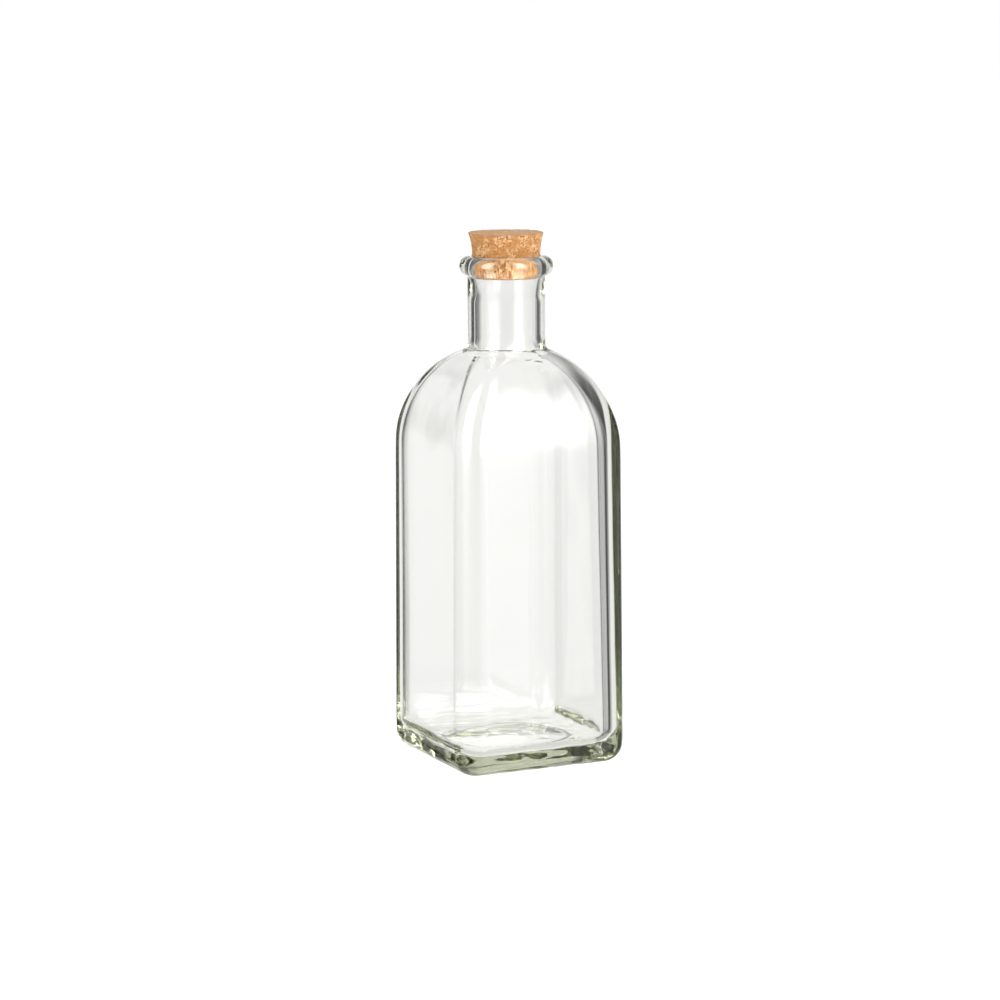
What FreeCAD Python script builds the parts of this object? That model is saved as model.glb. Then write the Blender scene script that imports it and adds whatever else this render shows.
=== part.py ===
import FreeCAD, Part
import math
import os

# A clear glass bottle with a square body, and the tapered cork that closes it.
# Millimetres, +Z up, the origin on the standing plane under the middle of the bottle.

# Square body
side_width = 70.0          # across two opposite faces, at the base
face_lean = 0.006          # how far each face leans inwards for each millimetre of height
corner_radius = 9.0        # upright corners
heel_radius = 7.5          # rounding from the faces into the base
shoulder_start = 120.7     # height where the faces begin to curve inwards

# Shoulder, a quarter curve that would end inside the neck
shoulder_rise = 38.2       # its full height
shoulder_inset = 8.4       # how far inside the neck's radius it would end
shoulder_fullness = 1.9    # 2 would be an ellipse
shoulder_steps = 9         # sections between the straight body and the neck
side_left = 0.2            # half of the flat side that is left at the last section
outside_end = 0.3          # share of the inset by which the outside is carried into the neck
inside_end = 0.7           # the same for the hollow, which has to reach inside the bore

# Round neck and its rolled lip
neck_radius = 14.7
neck_fillet = 2.0          # where the neck stands on the shoulder
neck_length = 27.7         # from the shoulder to the underside of the lip
lip_roll = 3.75            # radius of the rolled bead
lip_overhang = 3.05        # how far the bead stands out from the neck
lip_fillet = 0.8           # under the bead

# Inside of the glass
wall = 3.2                 # faces of the body
inner_corner_top = 7.5     # upright corners of the hollow, at the shoulder
inner_corner_foot = 10.0   # and at the floor, where the glass is thicker
inner_heel_radius = 6.0
base_thickness = 7.5       # where the floor meets the walls
floor_crown = 1.2          # rise of the floor in its middle
crown_margin = 2.0         # from the rounding at the walls to the edge of that rise
shoulder_wall = 2.8        # glass at the top of the shoulder
neck_wall = 3.35
bore_fillet = 8.0          # where the bore opens into the shoulder
mouth_widening = 1.65      # by how much the mouth is wider than the bore, on the radius
mouth_depth = 4.5          # length over which the mouth keeps its width
mouth_taper = 11.0         # length below that over which it narrows to the bore
mouth_edge = 0.6           # rounding of the mouth's inner edge

# Push-up under the base
punt_radius = 23.0
punt_step = 1.8            # height of its steep rim
punt_rim = 2.4             # width of that rim
punt_height = 3.8          # in the middle

# Cork
cork_clearance = 0.05      # between the cork and the glass
cork_depth = 8.3           # how far it reaches into the mouth
cork_narrowing = 1.2       # by how much its lower end is narrower than the mouth, on the radius
cork_stand = 9.0           # how far it stands out of the mouth
cork_flare = 26.0          # radius of the curve by which it widens above the mouth
cork_bevel = 0.35          # worn edges


def rounded_square(half, radius, height):
    """A closed wire of four corner arcs and four sides, flat at one height."""
    middle = half - radius
    bulge = middle + radius * math.sqrt(0.5)
    corner = [(half, middle), (bulge, bulge), (middle, half), (-middle, half)]
    edges = []
    for quarter in range(4):
        turn = FreeCAD.Rotation(FreeCAD.Vector(0, 0, 1), 90 * quarter)
        start, through, end, side_end = [turn.multVec(FreeCAD.Vector(x, y, height)) for x, y in corner]
        edges.append(Part.Arc(start, through, end).toShape())
        edges.append(Part.LineSegment(end, side_end).toShape())
    return Part.Wire(edges)


def square_tower(half, foot_radius, top_radius, bottom, top):
    """The straight part of the body, with faces that lean inwards by a little."""
    narrowed = half - face_lean * (top - bottom)
    foot = rounded_square(half, foot_radius, bottom)
    return Part.makeLoft([foot, rounded_square(narrowed, top_radius, top)], True, True)


def shoulder_turn(half, end_radius):
    """How far round the shoulder curve, as an angle, it comes down to a radius."""
    share = (end_radius - shoulder_centre) / (half - shoulder_centre)
    return math.acos(share ** (shoulder_fullness / 2))


def shoulder_lift(rise, turn):
    """Height of the shoulder curve above its start."""
    return rise * math.sin(turn) ** (2 / shoulder_fullness)


def shoulder(half, radius, rise, end_radius):
    """The vaulted top of the body, from a rounded square to almost a circle inside the neck."""
    reach = half - shoulder_centre
    last = shoulder_turn(half, end_radius)
    sections = []
    for step in range(shoulder_steps + 1):
        turn = last * step / shoulder_steps
        across = shoulder_centre + reach * math.cos(turn) ** (2 / shoulder_fullness)
        lift = shoulder_lift(rise, turn)
        rounding = radius + (end_radius - side_left - radius) * (lift / shoulder_lift(rise, last)) ** 2
        sections.append(rounded_square(across, rounding, shoulder_start + lift))
    return Part.makeLoft(sections, True, False)


def turned(outline):
    """A solid turned about the upright axis from edges that close on it."""
    face = Part.Face(Part.Wire(outline))
    return face.revolve(FreeCAD.Vector(0, 0, 0), FreeCAD.Vector(0, 0, 1), 360)


def line(start, end):
    points = [FreeCAD.Vector(point[0], 0, point[1]) for point in (start, end)]
    return Part.LineSegment(*points).toShape()


def arc(start, through, end):
    points = [FreeCAD.Vector(point[0], 0, point[1]) for point in (start, through, end)]
    return Part.Arc(*points).toShape()


body_half = side_width / 2
body_half_top = body_half - face_lean * shoulder_start
shoulder_centre = neck_radius - shoulder_inset
neck_foot = shoulder_start + shoulder_lift(shoulder_rise, shoulder_turn(body_half_top, neck_radius))
bore_radius = neck_radius - neck_wall
mouth_radius = bore_radius + mouth_widening
lip_bottom = neck_foot + neck_length
lip_centre = neck_radius + lip_overhang - lip_roll
lip_middle = lip_bottom + math.sqrt(lip_roll ** 2 - (neck_radius - lip_centre) ** 2)
glass_top = lip_middle + lip_roll


def neck_and_lip():
    """Round neck with the bead that is rolled round its mouth, as a solid without the bore."""
    outer = lip_centre + lip_roll
    outline = [
        line((0, shoulder_start), (neck_radius, shoulder_start)),
        line((neck_radius, shoulder_start), (neck_radius, lip_bottom)),
        arc((neck_radius, lip_bottom), (outer, lip_middle), (lip_centre, glass_top)),
        line((lip_centre, glass_top), (0, glass_top)),
        line((0, glass_top), (0, shoulder_start)),
    ]
    return turned(outline)


def bore():
    """The space inside the neck: a straight bore that widens to a straight mouth."""
    drop = shoulder_start
    taper_top = glass_top - mouth_depth
    taper_foot = taper_top - mouth_taper
    above = glass_top + 1
    outline = [
        line((0, drop), (bore_radius, drop)),
        line((bore_radius, drop), (bore_radius, taper_foot)),
        line((bore_radius, taper_foot), (mouth_radius, taper_top)),
        line((mouth_radius, taper_top), (mouth_radius, above)),
        line((mouth_radius, above), (0, above)),
        line((0, above), (0, drop)),
    ]
    return turned(outline)


def dome(radius, rise, height):
    """A shallow round cap, flat below."""
    ball = (radius ** 2 + rise ** 2) / (2 * rise)
    halfway = radius / 2
    middle = height + rise - ball + math.sqrt(ball ** 2 - halfway ** 2)
    outline = [
        line((0, height), (radius, height)),
        arc((radius, height), (halfway, middle), (0, height + rise)),
        line((0, height + rise), (0, height)),
    ]
    return turned(outline)


def punt():
    """The round push-up under the base: a steep rim, then a shallow dome."""
    inner = punt_radius - punt_rim
    outline = [
        line((0, 0), (punt_radius, 0)),
        arc((punt_radius, 0), (punt_radius - punt_rim * 0.3, punt_step * 0.7), (inner, punt_step)),
        line((inner, punt_step), (0, punt_step)),
        line((0, punt_step), (0, 0)),
    ]
    return turned(outline).fuse(dome(inner, punt_height - punt_step, punt_step)).removeSplitter()


def ring(shape, radius, low, high):
    """Edges that run round the axis at one radius, between two heights."""
    found = []
    for edge in shape.Edges:
        box = edge.BoundBox
        middle = edge.valueAt((edge.FirstParameter + edge.LastParameter) / 2)
        if box.ZMin > low and box.ZMax < high and abs(math.hypot(middle.x, middle.y) - radius) < 0.05:
            found.append(edge)
    return found


def glass_outside():
    """The bottle as a full solid, before it is hollowed."""
    tower = square_tower(body_half, corner_radius, corner_radius, 0, shoulder_start)
    heel = [edge for edge in tower.Edges if edge.BoundBox.ZMax < 0.01]
    tower = tower.makeFillet(heel_radius, heel)
    end_radius = neck_radius - shoulder_inset * outside_end
    vault = shoulder(body_half_top, corner_radius, shoulder_rise, end_radius)
    whole = tower.fuse(vault).fuse(neck_and_lip()).removeSplitter()
    whole = whole.makeFillet(neck_fillet, ring(whole, neck_radius, neck_foot - 1, neck_foot + 1))
    return whole.makeFillet(lip_fillet, ring(whole, neck_radius, lip_bottom - 0.1, lip_bottom + 0.1))


def hollow():
    """The space inside the glass."""
    half = body_half - wall
    half_top = body_half_top - wall
    tower = square_tower(half, inner_corner_foot, inner_corner_top, base_thickness, shoulder_start)
    heel = [edge for edge in tower.Edges if edge.BoundBox.ZMax < base_thickness + 0.01]
    tower = tower.makeFillet(inner_heel_radius, heel)
    rise = shoulder_rise - shoulder_wall
    vault = shoulder(half_top, inner_corner_top, rise, neck_radius - shoulder_inset * inside_end)
    whole = tower.fuse(vault).fuse(bore()).removeSplitter()
    foot = shoulder_start + shoulder_lift(rise, shoulder_turn(half_top, bore_radius))
    whole = whole.makeFillet(bore_fillet, ring(whole, bore_radius, foot - 1, foot + 1))
    return whole.cut(dome(half - inner_heel_radius - crown_margin, floor_crown, base_thickness))


def bottle():
    """One piece of glass, open at the mouth."""
    glass = glass_outside().cut(hollow()).cut(punt())
    return glass.makeFillet(mouth_edge, ring(glass, mouth_radius, glass_top - 0.1, glass_top + 0.1))


def cork():
    """The stopper: a cone where the mouth holds it, and wider again above the lip."""
    bottom = glass_top - cork_depth
    top = glass_top + cork_stand
    at_mouth = mouth_radius - cork_clearance
    at_bottom = at_mouth - cork_narrowing
    flare_top = at_mouth + cork_flare - math.sqrt(cork_flare ** 2 - (cork_stand - cork_bevel) ** 2)
    flare_middle = at_mouth + cork_flare - math.sqrt(cork_flare ** 2 - (cork_stand / 2) ** 2)
    outline = [
        line((0, bottom), (at_bottom - cork_bevel, bottom)),
        line((at_bottom - cork_bevel, bottom), (at_bottom, bottom + cork_bevel)),
        line((at_bottom, bottom + cork_bevel), (at_mouth, glass_top)),
        arc((at_mouth, glass_top), (flare_middle, glass_top + cork_stand / 2),
            (flare_top, top - cork_bevel)),
        line((flare_top, top - cork_bevel), (flare_top - cork_bevel, top)),
        line((flare_top - cork_bevel, top), (0, top)),
        line((0, top), (0, bottom)),
    ]
    return turned(outline)


os.makedirs("parts", exist_ok=True)
for name, solid in (("bottle", bottle()), ("cork", cork())):
    solid.exportStep("parts/" + name + ".step")
    cubic_cm = round(solid.Volume / 1000, 1)
    print(name, "valid", solid.isValid(), "solids", len(solid.Solids), "cubic cm", cubic_cm)
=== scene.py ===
import math

import bpy
import numpy as np
from mathutils import Matrix, Vector, noise


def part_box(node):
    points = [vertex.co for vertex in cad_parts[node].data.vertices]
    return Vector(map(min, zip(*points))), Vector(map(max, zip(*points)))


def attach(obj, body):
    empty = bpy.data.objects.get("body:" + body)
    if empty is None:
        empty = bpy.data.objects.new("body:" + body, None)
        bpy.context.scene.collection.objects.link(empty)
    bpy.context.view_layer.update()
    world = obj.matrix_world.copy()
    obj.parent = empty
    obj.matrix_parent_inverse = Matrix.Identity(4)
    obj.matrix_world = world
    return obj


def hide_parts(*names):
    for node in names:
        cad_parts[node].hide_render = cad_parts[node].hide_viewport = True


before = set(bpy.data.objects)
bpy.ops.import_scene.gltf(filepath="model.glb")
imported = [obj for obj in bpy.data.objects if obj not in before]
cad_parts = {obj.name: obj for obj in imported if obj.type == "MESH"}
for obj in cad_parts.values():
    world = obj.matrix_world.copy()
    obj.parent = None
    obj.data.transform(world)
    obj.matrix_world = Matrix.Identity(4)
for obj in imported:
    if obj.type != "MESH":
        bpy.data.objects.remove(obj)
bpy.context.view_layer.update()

# A clear glass bottle with a square body and a tapered cork, in a white room.
# Metres, the bottle stands on z = 0 with its axis on z.

mm = 0.001
bottleLow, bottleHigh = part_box("bottle")
corkLow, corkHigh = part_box("cork")


def makeMaterial(name):
    material = bpy.data.materials.new(name)
    material.use_nodes = True
    material.node_tree.nodes.clear()
    return material, material.node_tree.nodes, material.node_tree.links


def meshObject(name, points, faces, material):
    mesh = bpy.data.meshes.new(name)
    mesh.from_pydata(points, [], faces)
    mesh.materials.append(material)
    mesh.validate()
    mesh.shade_smooth()
    piece = bpy.data.objects.new(name, mesh)
    bpy.context.scene.collection.objects.link(piece)
    return piece


def ringFaces(rings, columns):
    # quads between rings that follow each other, each ring closed on itself
    faces = []
    for ring in range(rings - 1):
        low = ring * columns
        for column in range(columns):
            following = (column + 1) % columns
            faces.append((low + column, low + following,
                          low + columns + following, low + columns + column))
    return faces


def capFaces(pole, ring, columns, upward):
    # triangles from a middle point to the ring round it
    faces = []
    for column in range(columns):
        following = (column + 1) % columns
        pair = (ring + column, ring + following) if upward else (ring + following, ring + column)
        faces.append((pole,) + pair)
    return faces


def closedFaces(rings, columns, pole):
    # a whole skin: the rings, and a middle point at each end
    return (ringFaces(rings, columns) + capFaces(pole, 0, columns, False)
            + capFaces(pole + 1, (rings - 1) * columns, columns, True))


glass = {
    "cornerRadius": 9.0 * mm,
    "heelRadius": 7.5 * mm,
    "shoulderStart": 120.7 * mm,
    "shoulderRise": 38.2 * mm,
    "shoulderInset": 8.4 * mm,   # the shoulder's curve turns about a point this far inside the neck
    "shoulderFullness": 1.9,     # 2 is an ellipse
    "shoulderEnds": (0.3, 0.7),  # where it stops, outside and inside, as a share of the inset
    "flatLeft": 0.2 * mm,        # half of the flat that each face keeps there
    "curvePoints": 600,
    "faceLean": 0.006,
    "neckRadius": 14.7 * mm,
    "neckFillet": 2.0 * mm,
    "lipRoll": 3.75 * mm,
    "lipOverhang": 3.05 * mm,
    "lipFillet": 0.8 * mm,
    "wall": 3.2 * mm,
    # inside rounding of each upright corner at shoulder, middle and floor: the glass is
    # thicker in some
    "innerBack": (8.0 * mm, 8.0 * mm, 8.0 * mm),
    "innerLeft": (9.0 * mm, 10.0 * mm, 10.0 * mm),
    "innerFront": (7.6 * mm, 8.0 * mm, 8.5 * mm),
    "innerRight": (13.0 * mm, 12.0 * mm, 11.0 * mm),
    "innerHeelRadius": 6.0 * mm,
    "floor": 7.5 * mm,           # height of the floor where it meets the walls
    "floorCrown": 1.2 * mm,
    "shoulderWall": 2.8 * mm,
    "neckWall": 3.35 * mm,
    "boreFillet": 8.0 * mm,
    "mouthWidening": 1.65 * mm,
    "mouthDepth": 4.5 * mm,      # straight part of the mouth
    "mouthTaper": 15.5 * mm,     # from the top to where it has narrowed to the bore
    "mouthEdge": 0.6 * mm,
    "puntRadius": 23.0 * mm,
    "puntStep": 1.8 * mm,
    "puntRim": 2.4 * mm,
    "puntHeight": 3.8 * mm,
    # how finely the mesh divides each stretch, outside from the push-up to the mouth
    "puntRings": 15, "rimRings": 7, "footRings": 10, "heelRings": 11, "wallRings": 30,
    "shoulderRings": 64, "neckFilletRings": 6, "neckRings": 12, "lipFilletRings": 5, "lipRings": 20,
    # and inside from the mouth to the floor
    "edgeRings": 6, "mouthRings": 16, "boreRings": 10, "boreFilletRings": 8,
    "innerShoulderRings": 34, "innerHeelRings": 15, "floorRings": 26,
    "columnsPerEighth": 38,
    "cornerDensity": 0.35,       # spacing at the corners, where 1 is even
    "topDensity": 1.4,           # above 1, rings come closer towards the top of the shoulder
    "ior": 1.52,
    "tint": (0.655, 0.68, 0.53),
    "tintDensity": 29.0,         # per metre
    "shadowTint": (0.93, 0.95, 0.92),
    "waveShift": (13.7, 5.3, 9.1),
    "waveHeight": 0.12 * mm,     # unevenness of the inner wall
    "waveLength": 26 * mm,
    "shoulderWave": 0.22 * mm,   # and more of it inside the shoulder
    "shoulderWaveLength": 11 * mm,
    "shoulderWaveSquash": 0.45,  # below 1, the waves there are drawn out upright
    "shoulderWaveFade": 10 * mm,
    "floorWave": 0.4 * mm,       # of the inner floor
    "floorWaveLength": 9 * mm,
    "floorWaveTop": 4.8 * mm,    # above the floor, up to where it goes
    "footWave": 0.3 * mm,        # of the heel and the underside
    "footWaveLength": 5 * mm,
    # a fold left in the surface of the shoulder, under the neck, in millimetres
    "fold": [(1.5, -14.9, 157.1), (4.8, -15.4, 156.4), (5.2, -17.1, 155.4), (2.1, -18.3, 154.6),
             (-0.7, -19.0, 154.1), (2.3, -19.7, 153.6), (5.3, -20.3, 153.1), (4.5, -22.7, 150.8)],
    "foldDepth": 0.3 * mm,
    "foldWidth": 0.45 * mm,
    "foldFoot": 149 * mm,        # nothing of it is lower
}


def columnAngles():
    # angles round the axis, closer together at the four corners
    count = glass["columnsPerEighth"]
    even = glass["cornerDensity"]
    angles = []
    for eighth in range(8):
        for step in range(count):
            share = step / count
            if eighth % 2:
                share = 1 - share
            bent = even * share + (1 - even) * (1 - (1 - share) ** 2)
            quarter = (eighth + 1) // 2 * math.pi / 2
            side = 1 if eighth % 2 == 0 else -1
            angles.append(quarter + side * bent * math.pi / 4)
    return np.array(angles)


def squareReach(half, rounding, angle):
    # distance from the axis to a rounded square, in the direction of an angle
    folded = np.abs((angle + math.pi / 4) % (math.pi / 2) - math.pi / 4)
    cosine, sine = np.cos(folded), np.sin(folded)
    middle = np.maximum(half - rounding, 0)
    flat = half / cosine
    inside = np.maximum(middle ** 2 * (2 * cosine * sine - 1) + rounding ** 2, 0)
    bent = middle * (cosine + sine) + np.sqrt(inside)
    return np.where(half * np.tan(folded) <= middle, flat, bent)


def respaced(reach, height, count):
    # the same curve again, its points closer together towards the end
    step = np.hypot(np.diff(reach), np.diff(height))
    along = np.concatenate([[0], np.cumsum(step)])
    wanted = along[-1] * (1 - (1 - np.linspace(0, 1, count)) ** glass["topDensity"])
    return np.interp(wanted, along, reach), np.interp(wanted, along, height)


def shoulderColumn(angle, half, rounding, rise, end, neckRadius, fillet, steps, filletSteps):
    # the shoulder in one direction, from the walls up to where the neck stands on it
    g = glass
    centre = g["neckRadius"] - g["shoulderInset"]
    endRadius = g["neckRadius"] - g["shoulderInset"] * end
    power = 2 / g["shoulderFullness"]
    last = math.acos(((endRadius - centre) / (half - centre)) ** (1 / power))
    turn = np.linspace(0, last, g["curvePoints"])
    across = centre + (half - centre) * np.cos(turn) ** power
    lift = rise * np.sin(turn) ** power
    # the corners open until the section is all but round
    corner = rounding + (endRadius - g["flatLeft"] - rounding) * (lift / lift[-1]) ** 2
    reach = squareReach(across, corner, angle)
    height = g["shoulderStart"] + lift
    # the fillet rolls where the curve moved out by its radius meets the neck moved out as much
    slopeReach, slopeHeight = np.gradient(reach), np.gradient(height)
    length = np.hypot(slopeReach, slopeHeight)
    offsetReach = reach + fillet * slopeHeight / length
    offsetHeight = height - fillet * slopeReach / length
    touch = int(np.argmax(offsetReach < neckRadius + fillet))
    centreHeight = offsetHeight[touch]
    startAngle = math.atan2(height[touch] - centreHeight, reach[touch] - neckRadius - fillet)
    reach, height = respaced(reach[:touch + 1], height[:touch + 1], steps)
    bend = np.linspace(startAngle % (2 * math.pi), math.pi, filletSteps + 1)[1:]
    reach = np.concatenate([reach, neckRadius + fillet + fillet * np.cos(bend)])
    height = np.concatenate([height, centreHeight + fillet * np.sin(bend)])
    return reach, height


def shoulderRings(angles, half, roundings, *sizes):
    columns = [shoulderColumn(angle, half, rounding, *sizes)
               for angle, rounding in zip(angles, roundings)]
    return np.array([c[0] for c in columns]).T, np.array([c[1] for c in columns]).T


def squareRings(halves, roundings, heights, angles):
    # rings of a rounded square, each flat at its own height
    reach = np.array([squareReach(half, rounding, angles)
                      for half, rounding in zip(halves, roundings)])
    height = np.repeat(np.array(heights)[:, None], len(angles), axis=1)
    return reach, height


def roundRings(reaches, heights, angles):
    columns = len(angles)
    return (np.repeat(np.array(reaches)[:, None], columns, axis=1),
            np.repeat(np.array(heights)[:, None], columns, axis=1))


def baseRings(angles, half):
    # the push-up from its middle, its rim, the flat it stands on, and the heel
    g = glass
    inner = g["puntRadius"] - g["puntRim"]
    rise = g["puntHeight"] - g["puntStep"]
    ball = (inner ** 2 + rise ** 2) / (2 * rise)
    dome = np.linspace(0, inner, g["puntRings"])[1:]
    domeHeight = g["puntHeight"] - ball + np.sqrt(ball ** 2 - dome ** 2)
    rings = [roundRings(dome, domeHeight, angles)]
    turn = np.linspace(0, math.pi / 2, g["rimRings"])[1:]
    rings.append(roundRings(inner + g["puntRim"] * np.sin(turn), g["puntStep"] * np.cos(turn),
                            angles))

    share = np.linspace(0, 1, g["footRings"])[1:-1]
    foot = half - g["heelRadius"]
    footRounding = g["cornerRadius"] - g["heelRadius"]
    rings.append(squareRings(g["puntRadius"] + (foot - g["puntRadius"]) * share,
                             g["puntRadius"] + (footRounding - g["puntRadius"]) * share,
                             0 * share, angles))
    turn = np.linspace(0, math.pi / 2, g["heelRings"])
    rings.append(squareRings(foot + g["heelRadius"] * np.sin(turn),
                             footRounding + g["heelRadius"] * np.sin(turn),
                             g["heelRadius"] * (1 - np.cos(turn)), angles))
    return rings


def lipRings(angles, foot):
    # the neck above the shoulder's fillet, and the rolled bead with a small fillet under it
    g = glass
    roll = g["lipRoll"]
    centre = g["neckRadius"] + g["lipOverhang"] - roll
    middle = bottleHigh.z - roll
    fillet = g["lipFillet"]
    aside = g["neckRadius"] + fillet - centre
    filletHeight = middle - math.sqrt((roll + fillet) ** 2 - aside ** 2)
    share = np.linspace(0, 1, g["neckRings"])[1:, None]
    neck = np.full((g["neckRings"] - 1, len(angles)), g["neckRadius"])
    rings = [(neck, foot + (filletHeight - foot) * share)]
    meet = math.atan2(middle - filletHeight, centre - g["neckRadius"] - fillet)
    turn = np.linspace(math.pi, meet, g["lipFilletRings"])[1:]
    rings.append(roundRings(g["neckRadius"] + fillet + fillet * np.cos(turn),
                            filletHeight + fillet * np.sin(turn), angles))
    turn = np.linspace(meet - math.pi, math.pi / 2, g["lipRings"])[1:]
    rings.append(roundRings(centre + roll * np.cos(turn), middle + roll * np.sin(turn), angles))
    return rings


def outerRings(angles):
    # from the middle of the push-up, round the heel, up the walls and the neck, to the mouth
    g = glass
    half = (bottleHigh.x - bottleLow.x) / 2
    start = g["shoulderStart"]
    rings = baseRings(angles, half)
    height = np.linspace(g["heelRadius"], start, g["wallRings"])[1:-1]
    rings.append(squareRings(half - g["faceLean"] * (height - g["heelRadius"]),
                             np.full_like(height, g["cornerRadius"]), height, angles))
    rings.append(shoulderRings(angles, half - g["faceLean"] * start,
                               np.full_like(angles, g["cornerRadius"]), g["shoulderRise"],
                               g["shoulderEnds"][0], g["neckRadius"], g["neckFillet"],
                               g["shoulderRings"], g["neckFilletRings"]))
    return rings + lipRings(angles, rings[-1][1][-1][None, :])


def innerCorner(angles, height):
    # rounding of the hollow's upright corners at a height, corner by corner
    floor, start = glass["floor"], glass["shoulderStart"]
    levels = (floor, (floor + start) / 2, start)
    corners = ("innerBack", "innerLeft", "innerFront", "innerRight")
    sizes = [np.interp(height, levels, glass[name][::-1]) for name in corners]
    quarter = np.floor(angles % (2 * math.pi) / (math.pi / 2)).astype(int) % 4
    return np.array(sizes)[quarter]


def mouthRings(angles, bore):
    # the rounded edge of the mouth, its straight part and its taper to the bore
    g = glass
    top = bottleHigh.z
    mouth = bore + g["mouthWidening"]
    edge = g["mouthEdge"]
    turn = np.linspace(math.pi / 2, math.pi, g["edgeRings"])
    rings = [roundRings(mouth + edge + edge * np.cos(turn), top - edge + edge * np.sin(turn),
                        angles)]
    height = np.linspace(top - edge, top - g["mouthTaper"], g["mouthRings"])[1:]
    taper = g["mouthTaper"] - g["mouthDepth"]
    bend = np.clip((top - g["mouthDepth"] - height) / taper, 0, 1)
    rings.append(roundRings(mouth - g["mouthWidening"] * bend, height, angles))
    return rings


def floorRings(angles):
    # the hollow's heel, and its floor that rises a little to the middle
    g = glass
    heel = g["innerHeelRadius"]
    floor = g["floor"]
    foot = (bottleHigh.x - bottleLow.x) / 2 - g["wall"] - heel
    turn = np.linspace(math.pi / 2, 0, g["innerHeelRings"])
    lowest = innerCorner(angles, floor)
    roundings = [lowest - heel + heel * math.sin(bend) for bend in turn]
    rings = [squareRings(foot + heel * np.sin(turn), roundings,
                         floor + heel * (1 - np.cos(turn)), angles)]
    ball = (foot ** 2 + g["floorCrown"] ** 2) / (2 * g["floorCrown"])
    share = np.linspace(1, 0, g["floorRings"])[1:-1]
    halves = foot * share
    roundings = [reach - (foot - lowest + heel) * part ** 4
                 for reach, part in zip(halves, share)]
    rings.append(squareRings(halves, roundings,
                             floor + (g["floorCrown"] - ball + np.sqrt(ball ** 2 - halves ** 2)),
                             angles))
    return rings


def innerRings(angles):
    # from the mouth down the bore, the shoulder and the walls, to the middle of the floor
    g = glass
    half = (bottleHigh.x - bottleLow.x) / 2
    start = g["shoulderStart"]
    bore = g["neckRadius"] - g["neckWall"]
    rings = mouthRings(angles, bore)

    reach, height = shoulderRings(angles, half - g["faceLean"] * start - g["wall"],
                                  innerCorner(angles, start), g["shoulderRise"] - g["shoulderWall"],
                                  g["shoulderEnds"][1], bore, g["boreFillet"],
                                  g["innerShoulderRings"], g["boreFilletRings"])
    low = bottleHigh.z - g["mouthTaper"]
    share = np.linspace(0, 1, g["boreRings"])[1:-1, None]
    rings.append((np.full((g["boreRings"] - 2, len(angles)), bore),
                  low + (height[-1][None, :] - low) * share))
    rings.append((reach[::-1], height[::-1]))

    floor = g["floor"]
    height = np.linspace(start, floor + g["innerHeelRadius"], g["wallRings"])[1:-1]
    roundings = [innerCorner(angles, level) for level in height]
    rings.append(squareRings(half - g["wall"] - g["faceLean"] * (height - floor), roundings,
                             height, angles))
    return rings + floorRings(angles)


def wave(point, length, seed):
    return noise.noise(point / length + Vector(seed * shift for shift in glass["waveShift"]))


def foldShare(point):
    # 1 on the line of the fold, 0 away from it
    line = [Vector(corner) * mm for corner in glass["fold"]]
    nearest = 1.0
    for start, end in zip(line, line[1:]):
        along = (point - start).dot(end - start) / (end - start).length_squared
        nearest = min(nearest, (point - start.lerp(end, min(max(along, 0), 1))).length)
    return math.exp(-(nearest / glass["foldWidth"]) ** 2)


def outerSlip(point):
    # how far the outer surface falls short of the mould: rippled at the foot, one fold above
    g = glass
    flat = Vector((point.x, point.y, 0))
    footTop = g["heelRadius"] + g["footWaveLength"]
    if point.z < footTop:
        up = Vector((0, 0, 1))
        share = 0 if flat.length < g["puntRadius"] else min(point.z / g["heelRadius"], 1)
        fade = min(1, (footTop - point.z) / g["footWaveLength"])
        amount = g["footWave"] * (0.5 + 0.5 * wave(point, g["footWaveLength"], 2)) * fade
        return (up * (1 - share) - flat.normalized() * share) * amount
    if point.z > g["foldFoot"] and flat.length > g["neckRadius"] and point.y < 0:
        return -point.normalized() * g["foldDepth"] * foldShare(point)
    return Vector((0, 0, 0))


def innerSlip(point):
    # unevenness of the hollow, soft on the walls, shorter and deeper on floor and shoulder
    g = glass
    flat = Vector((point.x, point.y, 0))
    if flat.length < g["neckRadius"] and point.z > g["shoulderStart"]:
        return Vector((0, 0, 0))
    slip = -flat.normalized() * g["waveHeight"] * (1 + wave(point, g["waveLength"], 1))
    if point.z < g["floor"] + g["floorWaveTop"]:
        slip += Vector((0, 0, g["floorWave"] * wave(point, g["floorWaveLength"], 3)))
    high = min(max((point.z - g["shoulderStart"]) / g["shoulderWaveFade"], 0), 1)
    drawn = Vector((point.x, point.y, point.z * g["shoulderWaveSquash"]))
    swell = 1 + wave(drawn, g["shoulderWaveLength"], 4)
    return slip - point.normalized() * g["shoulderWave"] * high * swell


def buildBottle(material):
    angles = columnAngles()
    columns = len(angles)
    outer, inner = outerRings(angles), innerRings(angles)
    outerCount = sum(len(part[0]) for part in outer)
    reach = np.concatenate([part[0] for part in outer + inner])
    height = np.concatenate([part[1] for part in outer + inner])
    cosine, sine = np.cos(angles), np.sin(angles)
    points = []
    for ring in range(len(reach)):
        slip = outerSlip if ring < outerCount else innerSlip
        for column in range(columns):
            r, z = reach[ring, column], height[ring, column]
            point = Vector((r * cosine[column], r * sine[column], z))
            points.append(point + slip(point))
    pole = len(points)
    points.append(Vector((0, 0, glass["puntHeight"])))
    points.append(Vector((0, 0, glass["floor"] + glass["floorCrown"])))
    return meshObject("bottleGlass", points, closedFaces(len(reach), columns, pole), material)


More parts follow.
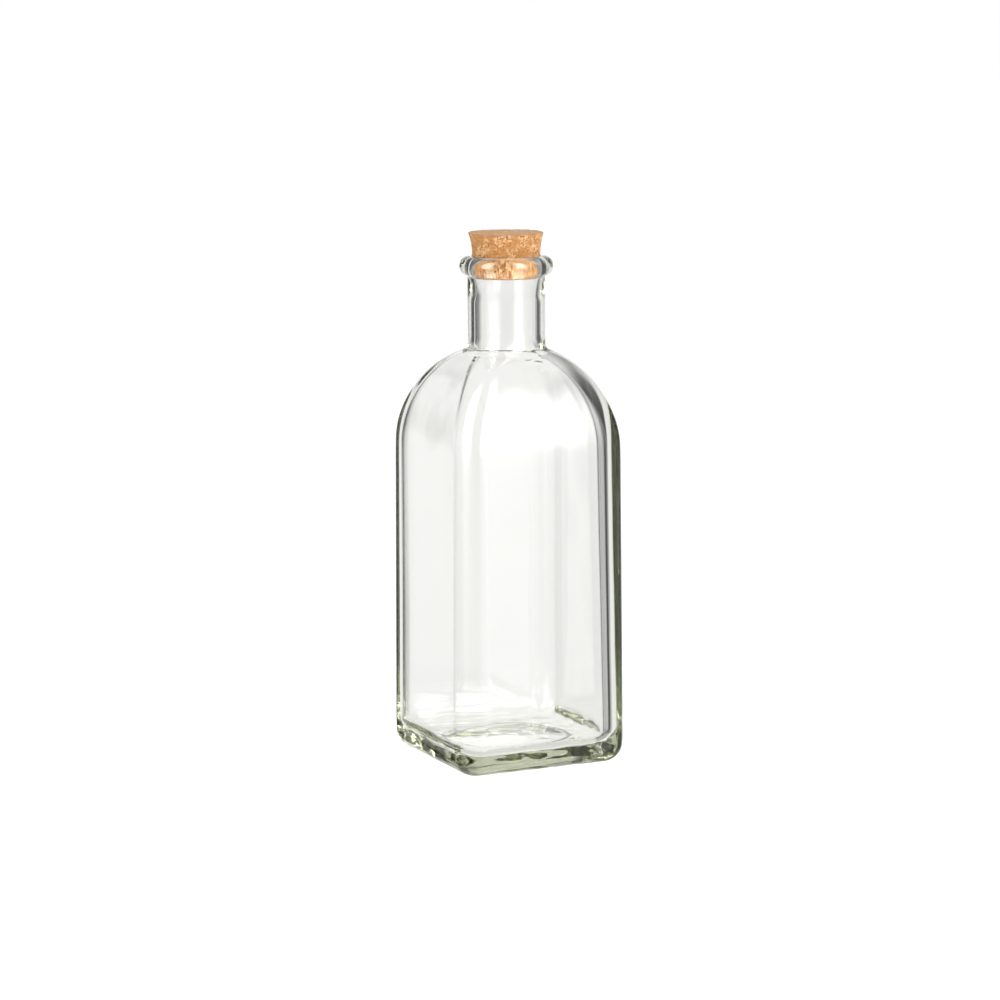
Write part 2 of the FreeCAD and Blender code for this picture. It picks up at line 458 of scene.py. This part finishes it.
def glassMaterial():
    # a lamp's light goes straight through, so that the bottle's shadow stays pale
    material, nodes, links = makeMaterial("clearGlass")
    output = nodes.new("ShaderNodeOutputMaterial")
    surface = nodes.new("ShaderNodeBsdfPrincipled")
    surface.inputs["Base Color"].default_value = (1, 1, 1, 1)
    surface.inputs["Roughness"].default_value = 0
    surface.inputs["IOR"].default_value = glass["ior"]
    surface.inputs["Transmission Weight"].default_value = 1
    absorb = nodes.new("ShaderNodeVolumeAbsorption")
    absorb.inputs["Color"].default_value = glass["tint"] + (1,)
    absorb.inputs["Density"].default_value = glass["tintDensity"]
    clear = nodes.new("ShaderNodeBsdfTransparent")
    clear.inputs["Color"].default_value = glass["shadowTint"] + (1,)
    paths = nodes.new("ShaderNodeLightPath")
    mix = nodes.new("ShaderNodeMixShader")
    links.new(paths.outputs["Is Shadow Ray"], mix.inputs["Fac"])
    links.new(surface.outputs["BSDF"], mix.inputs[1])
    links.new(clear.outputs["BSDF"], mix.inputs[2])
    links.new(mix.outputs["Shader"], output.inputs["Surface"])
    links.new(absorb.outputs["Volume"], output.inputs["Volume"])
    return material


bottlePiece = buildBottle(glassMaterial())
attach(bottlePiece, "root")
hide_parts("bottle")
print("glass bottle done,", len(bottlePiece.data.polygons), "faces")


cork = {
    "mouthRadius": 12.95 * mm,   # where it leaves the glass
    "flareRadius": 26.0 * mm,    # curve by which it widens above
    "narrowing": 1.2 / 8.3,      # of the part in the glass
    "bevel": 0.35 * mm,
    "columns": 400,
    "sideRings": 84,
    "topRings": 50,
    "lowRings": 20,
    "pitSpacing": 1.35 * mm,
    "pitRadius": 0.34 * mm,
    "pitDepth": 0.3 * mm,
    "pitRaggedness": 0.35,       # in millimetres
    "pitRaggedSize": 0.7 * mm,
    "pitSquash": 1.3,            # above 1, the pits are flatter than wide
    "pitSpread": 2.2,            # how much they differ in size
    "pitSizeSeed": 7.3,
    "raggedSeed": 1795446503,    # without it every run has other pits
    "pitSlope": 2,               # steepness of their sides
    "grainDepth": 0.16 * mm,
    "grainSize": 0.9 * mm,
    "unevenness": 0.3 * mm,
    "unevenSize": 7 * mm,
    "chipDepth": 0.9 * mm,       # by how much the lower edge is eaten away in places
    "chipHeight": 3 * mm,        # how far up that reaches
    "chipShare": 0.35,
    "chipCount": 5,
    "chipSeed": (3, 1, 0),
    "patchSize": 5 * mm,
    # colours from dark to light
    "tones": [(0.37, (0.33, 0.12, 0.03)), (0.46, (0.55, 0.265, 0.085)),
              (0.55, (0.68, 0.37, 0.15)), (0.68, (0.84, 0.54, 0.28))],
    "toneMix": 0.62,             # share of fine noise in the tone of a granule
    "toneNoise": 0.55 * mm,
    "granule": 0.7 * mm,
    "granuleRaggedness": 0.9 * mm,
    "granuleRaggedSize": 0.8 * mm,
    "roughness": 0.85,
    # ochre: the cork's own colour in patches, and painted shade on one side
    "ochreAndSideShade": (0.46, 0.20, 0.045),
    "shadedOchreSide": 188,            # degrees about the axis, the side where the ochre and its painted shade gather
    "streak": (0.38, 0.15, 0.055),
    "streakSize": 1.1 * mm,
    # dark specks of the cork; in the pits the same colour is painted shade
    "speckAndPitShade": (0.17, 0.065, 0.018),
    "speckSize": 0.6 * mm,
    # painted shade and sheen: the top made darker and greyer
    "topShadeAndSheen": (0.37, 0.25, 0.15),
    # painted shade: the lower end, inside the neck, made darker
    "foot": (0.30, 0.14, 0.055),
}


def corkOutline():
    # from the middle of the lower end along the side to the middle of the top
    c = cork
    low, top, mouth = corkLow.z, corkHigh.z, bottleHigh.z
    height = np.linspace(low + c["bevel"], top - c["bevel"], c["sideRings"])
    below = c["mouthRadius"] - c["narrowing"] * (mouth - height)
    flare = np.sqrt(c["flareRadius"] ** 2 - np.maximum(height - mouth, 0) ** 2)
    above = c["mouthRadius"] + c["flareRadius"] - flare
    reach = np.where(height < mouth, below, above)
    topReach = np.linspace(reach[-1] - c["bevel"], 0, c["topRings"] + 1)[:-1]
    lowReach = np.linspace(0, reach[0] - c["bevel"], c["lowRings"] + 1)[1:]
    height = np.concatenate([np.full(len(lowReach), low), height, np.full(len(topReach), top)])
    return np.concatenate([lowReach, reach, topReach]), height


def pitShare(point):
    # 1 in the middle of a small ragged hole, 0 away from it; many places have none
    c = cork
    ragged = point + noise.noise_vector(point / c["pitRaggedSize"]) * c["pitRaggedness"] * mm
    ragged.z *= c["pitSquash"]
    distances, centres = noise.voronoi(ragged / c["pitSpacing"])
    size = abs(noise.noise(centres[0] * c["pitSizeSeed"])) * c["pitSpread"]
    reach = c["pitRadius"] / c["pitSpacing"] * size
    return max(0.0, 1 - distances[0] / max(reach, 0.01))


def chipLift(out, height):
    # how much of the lower edge is gone, most at the very foot
    c = cork
    gone = max(0, c["chipShare"] + noise.fractal(out * c["chipCount"] + Vector(c["chipSeed"]),
                                                 1.0, 2.0, 4))
    return c["chipDepth"] * gone * max(0, 1 - (height - corkLow.z) / c["chipHeight"])


def buildCork(material):
    c = cork
    reach, height = corkOutline()
    columns = c["columns"]
    slopeReach, slopeHeight = np.gradient(reach), np.gradient(height)
    length = np.hypot(slopeReach, slopeHeight)
    points, pits, patches = [], [], []
    gathered = math.radians(c["shadedOchreSide"])
    noise.seed_set(c["raggedSeed"])
    for ring in range(len(reach)):
        for column in range(columns):
            angle = 2 * math.pi * column / columns
            out = Vector((math.cos(angle), math.sin(angle), 0))
            point = out * reach[ring] + Vector((0, 0, height[ring]))
            normal = (out * slopeHeight[ring] - Vector((0, 0, slopeReach[ring]))) / length[ring]
            pit = min(1, c["pitSlope"] * pitShare(point))
            grain = 0.5 + 0.5 * noise.fractal(point / c["grainSize"], 1.0, 2.0, 3)
            swell = 0.5 + 0.5 * noise.noise(point / c["unevenSize"])
            depth = c["pitDepth"] * pit + c["grainDepth"] * grain + c["unevenness"] * swell
            point -= normal * max(0, depth)
            point.z += chipLift(out, height[ring])
            patch = noise.fractal(point / c["patchSize"], 1.0, 2.0, 2)
            points.append(point)
            pits.append(pit)
            # noise patches of ochre, the cork's own colour, plus painted shade leaning to one side
            patches.append(0.5 * math.cos(angle - gathered) + patch)
    pole = len(points)
    points.append(Vector((0, 0, height[0])))
    points.append(Vector((0, 0, height[-1] - c["grainDepth"])))
    piece = meshObject("corkStopper", points, closedFaces(len(reach), columns, pole), material)
    # the pits, darkened as painted shade, and the ochre share, with its painted shade, laid on the
    # mesh
    for name, values in (("hole", pits), ("patch", patches)):
        spread = piece.data.attributes.new(name, "FLOAT", "POINT")
        spread.data.foreach_set("value", values + [0, 0])
    return piece


def corkMaterial():
    material, nodes, links = makeMaterial("corkGranules")
    output = nodes.new("ShaderNodeOutputMaterial")
    surface = nodes.new("ShaderNodeBsdfPrincipled")
    surface.inputs["Roughness"].default_value = cork["roughness"]
    place = nodes.new("ShaderNodeTexCoord").outputs["Object"]

    def blotches(size, detail, stretch=1.0, roughness=0.6):
        # soft noise, drawn out level where stretch is above 1
        drawn = nodes.new("ShaderNodeVectorMath")
        drawn.operation = "MULTIPLY"
        drawn.inputs[1].default_value = (1, 1, stretch)
        texture = nodes.new("ShaderNodeTexNoise")
        texture.inputs["Scale"].default_value = 1 / size
        texture.inputs["Detail"].default_value = detail
        texture.inputs["Roughness"].default_value = roughness
        links.new(place, drawn.inputs[0])
        links.new(drawn.outputs["Vector"], texture.inputs["Vector"])
        return texture

    def spread(name):
        # a value laid on the mesh
        held = nodes.new("ShaderNodeAttribute")
        held.attribute_name = name
        return held.outputs["Fac"]

    def between(value, low, high, top):
        # 0 below low, the top value above high
        span = nodes.new("ShaderNodeMapRange")
        span.interpolation_type = "SMOOTHSTEP"
        for name, limit in (("From Min", low), ("From Max", high), ("To Max", top)):
            span.inputs[name].default_value = limit
        links.new(value, span.inputs["Value"])
        return span.outputs["Result"]

    def tinted(colour, tone, share):
        # the colour turned towards a tone by a share
        mix = nodes.new("ShaderNodeMix")
        mix.data_type = "RGBA"
        mix.inputs["B"].default_value = tone + (1,)
        links.new(share, mix.inputs["Factor"])
        links.new(colour, mix.inputs["A"])
        return mix.outputs["Result"]

    # granules with ragged edges
    ragged = nodes.new("ShaderNodeVectorMath")
    ragged.operation = "MULTIPLY_ADD"
    ragged.inputs[1].default_value = (cork["granuleRaggedness"],) * 3
    links.new(blotches(cork["granuleRaggedSize"], 3).outputs["Color"], ragged.inputs[0])
    links.new(place, ragged.inputs[2])
    cells = nodes.new("ShaderNodeTexVoronoi")
    cells.inputs["Scale"].default_value = 1 / cork["granule"]
    links.new(ragged.outputs["Vector"], cells.inputs["Vector"])
    tone = nodes.new("ShaderNodeMix")
    tone.inputs["Factor"].default_value = cork["toneMix"]
    links.new(cells.outputs["Color"], tone.inputs["A"])
    links.new(blotches(cork["toneNoise"], 5, 1.3, 0.7).outputs["Fac"], tone.inputs["B"])
    ramp = nodes.new("ShaderNodeValToRGB")
    stops = ramp.color_ramp.elements
    stops = [stops[0], stops[1], stops.new(1), stops.new(1)]
    for (position, colour), stop in zip(cork["tones"], stops):
        stop.position, stop.color = position, colour + (1,)
    links.new(tone.outputs["Result"], ramp.inputs["Fac"])

    # tones laid over them, some of them painted shade and sheen: what they follow, from where to
    # where, and how much
    streaks = blotches(cork["streakSize"], 4, 2.2).outputs["Fac"]
    specks = blotches(cork["speckSize"], 1, 1.1).outputs["Fac"]
    apart = nodes.new("ShaderNodeSeparateXYZ")
    links.new(place, apart.inputs["Vector"])
    height = apart.outputs["Z"]
    colour = ramp.outputs["Color"]
    for name, value, low, high, top in (
            # ochre patches, with painted shade on one side
            ("ochreAndSideShade", spread("patch"), 0.05, 0.5, 0.8),
            ("streak", streaks, 0.54, 0.62, 0.6),
            ("speckAndPitShade", specks, 0.63, 0.69, 0.8),
            # painted shade in the pits, towards the speck colour
            ("speckAndPitShade", spread("hole"), 0.1, 0.6, 0.85),
            # painted shade and sheen on the top
            ("topShadeAndSheen", height, corkHigh.z - 0.9 * mm, corkHigh.z - 0.2 * mm, 0.6),
            # painted shade at the lower end
            ("foot", height, corkLow.z + 1.3 * mm, corkLow.z + 0.6 * mm, 0.75)):
        colour = tinted(colour, cork[name], between(value, low, high, top))
    links.new(colour, surface.inputs["Base Color"])
    links.new(surface.outputs["BSDF"], output.inputs["Surface"])
    return material


corkPiece = buildCork(corkMaterial())
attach(corkPiece, "root")
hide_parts("cork")
print("cork done,", len(corkPiece.data.polygons), "faces")


view = {
    "azimuth": -25.5,          # degrees aside from the front, left below 0
    "elevation": 9.2,
    "distance": 1.264,
    "aimShare": 0.4919,        # of the whole height
    "aimAside": -0.002806,     # metres from the axis, left below 0
    "lens": 119.6,
    "sensor": 36,
    "roll": -0.31,
    "nearest": 0.05,
    "farthest": 60,
}


def awayTowards(aside, up):
    # direction from the bottle, in degrees aside from the front, left below 0, and up
    turn, lift = math.radians(aside), math.radians(up)
    return Vector((math.sin(turn) * math.cos(lift), -math.cos(turn) * math.cos(lift),
                   math.sin(lift)))


def makeCamera():
    turn = math.radians(view["azimuth"])
    back = awayTowards(view["azimuth"], view["elevation"])
    right = Vector((math.cos(turn), math.sin(turn), 0))
    aim = Vector((0, 0, corkHigh.z * view["aimShare"])) + right * view["aimAside"]
    data = bpy.data.cameras.new("camera")
    data.lens = view["lens"]
    data.sensor_width = view["sensor"]
    data.clip_start, data.clip_end = view["nearest"], view["farthest"]
    camera = bpy.data.objects.new("camera", data)
    camera.rotation_mode = "QUATERNION"
    camera.location = aim + back * view["distance"]
    roll = Matrix.Rotation(math.radians(view["roll"]), 3, "Z").to_quaternion()
    camera.rotation_quaternion = (-back).to_track_quat("-Z", "Y") @ roll
    bpy.context.scene.collection.objects.link(camera)
    bpy.context.scene.camera = camera
    return camera, aim


camera, aim = makeCamera()
print("camera done")


room = {
    "floorHalf": 6.0,
    "floorColour": (0.8, 0.8, 0.8),
    "floorGlow": 0.52,           # share of the floor that no shadow darkens
    "surroundRadius": 4.0,
    "surroundColumns": 240,
    "surroundRings": 120,
    "surroundTop": 89,           # degrees up to its last ring, and down to its first
    # brightness of the surround, in rows at some angles above the line of view; each row has
    # pairs of the angle from straight behind the bottle, left below 0, and the brightness there
    "surround": [
        (-50, [(-180, 0.8), (180, 0.8)]),
        (-28, [(-180, 0.15), (-30, 0.15), (-24, 1.0), (26, 1.0), (32, 0.15), (100, 0.3),
               (112, 1.1), (145, 1.1), (157, 0.3), (180, 0.15)]),
        (-6, [(-180, 0.15), (-60, 0.15), (-52.5, 0.06), (-51, 0.85), (-46.5, 0.85), (-45, 0.04),
              (-28, 0.04), (-16, 1.0), (33, 1.0), (38, 0.6), (43, 0.5), (45, 0.04), (53, 0.04),
              (56, 0.6), (66, 0.5), (100, 0.35), (112, 1.0), (145, 1.0), (157, 0.3),
              (180, 0.15)]),
        (6, [(-180, 0.4), (-64, 0.5), (-56, 0.06), (-52.5, 0.06), (-51, 0.85), (-46.5, 0.85),
             (-45, 0.04), (-28, 0.04), (-16, 1.0), (29, 1.0), (35, 0.04), (54, 0.04), (62, 0.5),
             (180, 0.4)]),
        (25, [(-180, 0.4), (-64, 0.5), (-60, 0.06), (-57, 0.9), (-45, 0.9), (-42, 0.06),
              (-38, 0.5), (-27, 0.6), (-22, 1.0), (12, 1.0), (18, 0.3), (54, 0.06), (62, 0.5),
              (180, 0.4)]),
        (48, [(-180, 0.8), (180, 0.8)]),
    ],
    # soft lamps in it: aside, up, half width and half height in degrees, brightness
    "softBoxes": [(-132, 28, 15, 34, 11.0), (143, 28, 15, 34, 13.0)],
    "softBoxEdge": 4,            # higher is harder
    "bounces": 48,               # light runs a long way in thick glass before it comes out green
    "worldLight": 0.66,
    "lampPower": 6.6,
    "lampSize": 0.45,
    "lampDistance": 1.3,
    "lamps": [(-48, 37, 0.45), (37, 37, 1.15)],   # aside and up in degrees, times the power
}


def largestOf(nodes, links, values):
    # the largest of some values, a node for each further one
    largest = values[0]
    for value in values[1:]:
        node = nodes.new("ShaderNodeMath")
        node.operation = "MAXIMUM"
        links.new(largest, node.inputs[0])
        links.new(value, node.inputs[1])
        largest = node.outputs["Value"]
    return largest


def makeFloor():
    # pale and matte, with some light of its own; the glass sees the surround through it
    material, nodes, links = makeMaterial("paleFloor")
    output = nodes.new("ShaderNodeOutputMaterial")
    matte = nodes.new("ShaderNodeBsdfDiffuse")
    matte.inputs["Color"].default_value = room["floorColour"] + (1,)
    glow = nodes.new("ShaderNodeEmission")
    glow.inputs["Strength"].default_value = room["floorGlow"]
    both = nodes.new("ShaderNodeAddShader")
    clear = nodes.new("ShaderNodeBsdfTransparent")
    rays = nodes.new("ShaderNodeLightPath").outputs
    mix = nodes.new("ShaderNodeMixShader")
    links.new(matte.outputs["BSDF"], both.inputs[0])
    links.new(glow.outputs["Emission"], both.inputs[1])
    links.new(largestOf(nodes, links, [rays["Is Glossy Ray"], rays["Is Transmission Ray"]]),
              mix.inputs["Fac"])
    links.new(both.outputs["Shader"], mix.inputs[1])
    links.new(clear.outputs["BSDF"], mix.inputs[2])
    links.new(mix.outputs["Shader"], output.inputs["Surface"])
    half = room["floorHalf"]
    points = [(-half, -half, 0), (half, -half, 0), (half, half, 0), (-half, half, 0)]
    floor = meshObject("floor", points, [(0, 1, 2, 3)], material)


def surroundShade(across, up):
    # how bright the surround is in a direction, in degrees from straight behind the bottle
    heights = [height for height, stops in room["surround"]]
    levels = [float(np.interp(across, *zip(*stops))) for height, stops in room["surround"]]
    shade = float(np.interp(up, heights, levels))
    edge = room["softBoxEdge"]
    for aside, high, wide, tall, glow in room["softBoxes"]:
        distance = ((across - aside) / wide) ** edge + ((up - high) / tall) ** edge
        shade += glow * math.exp(-distance)
    return shade


def makeSurround():
    # white and dark all round, as in a studio, seen only in gloss and through the glass
    material, nodes, links = makeMaterial("surround")
    output = nodes.new("ShaderNodeOutputMaterial")
    glow = nodes.new("ShaderNodeEmission")
    shade = nodes.new("ShaderNodeVertexColor")
    shade.layer_name = "shade"
    links.new(shade.outputs["Color"], glow.inputs["Color"])
    links.new(glow.outputs["Emission"], output.inputs["Surface"])
    columns, rings, top = room["surroundColumns"], room["surroundRings"], room["surroundTop"]
    points, colours = [], []
    for ring in range(rings):
        up = 2 * top * ring / (rings - 1) - top
        lift = math.radians(up)
        for column in range(columns):
            across = 360 * column / columns - 180
            turn = math.radians(across)
            points.append(room["surroundRadius"]
                          * Vector((math.sin(turn) * math.cos(lift), math.sin(lift),
                                    -math.cos(turn) * math.cos(lift))))
            colours += [surroundShade(across, up)] * 3 + [1]
    surround = meshObject("surround", points, ringFaces(rings, columns), material)
    layer = surround.data.color_attributes.new("shade", "FLOAT_COLOR", "POINT")
    layer.data.foreach_set("color", colours)
    # it turns with the camera, as a studio does round a turntable
    surround.parent = camera
    surround.location = (0, 0, -view["distance"])
    for ray in ("camera", "diffuse", "shadow", "volume_scatter"):
        setattr(surround, "visible_" + ray, False)


def makeLamps():
    for number, (aside, up, share) in enumerate(room["lamps"]):
        data = bpy.data.lights.new("softLamp%d" % number, "AREA")
        data.shape = "DISK"
        data.size = room["lampSize"]
        data.energy = room["lampPower"] * share
        lamp = bpy.data.objects.new(data.name, data)
        away = awayTowards(view["azimuth"] + aside, up)
        lamp.location = aim + away * room["lampDistance"]
        lamp.rotation_mode = "QUATERNION"
        lamp.rotation_quaternion = (-away).to_track_quat("-Z", "Y")
        # the surround shows them softly
        lamp.visible_glossy = lamp.visible_transmission = False
        bpy.context.scene.collection.objects.link(lamp)


def makeWorld():
    # plain white to look at, weaker as light
    world = bpy.data.worlds.new("world")
    bpy.context.scene.world = world
    world.use_nodes = True
    nodes, links = world.node_tree.nodes, world.node_tree.links
    nodes.clear()
    output = nodes.new("ShaderNodeOutputWorld")
    seen = nodes.new("ShaderNodeBackground")
    lit = nodes.new("ShaderNodeBackground")
    for background, strength in ((seen, 1), (lit, room["worldLight"])):
        background.inputs["Color"].default_value = (1, 1, 1, 1)
        background.inputs["Strength"].default_value = strength
    rays = nodes.new("ShaderNodeLightPath").outputs
    mix = nodes.new("ShaderNodeMixShader")
    links.new(largestOf(nodes, links, [rays["Is Camera Ray"], rays["Is Glossy Ray"],
                                       rays["Is Transmission Ray"]]), mix.inputs["Fac"])
    links.new(lit.outputs["Background"], mix.inputs[1])
    links.new(seen.outputs["Background"], mix.inputs[2])
    links.new(mix.outputs["Shader"], output.inputs["Surface"])


makeFloor()
makeSurround()
makeLamps()
makeWorld()
scene = bpy.context.scene
scene.view_settings.view_transform = "Standard"
scene.cycles.max_bounces = room["bounces"]
scene.cycles.transmission_bounces = room["bounces"]
scene.cycles.glossy_bounces = room["bounces"]
print("room done")
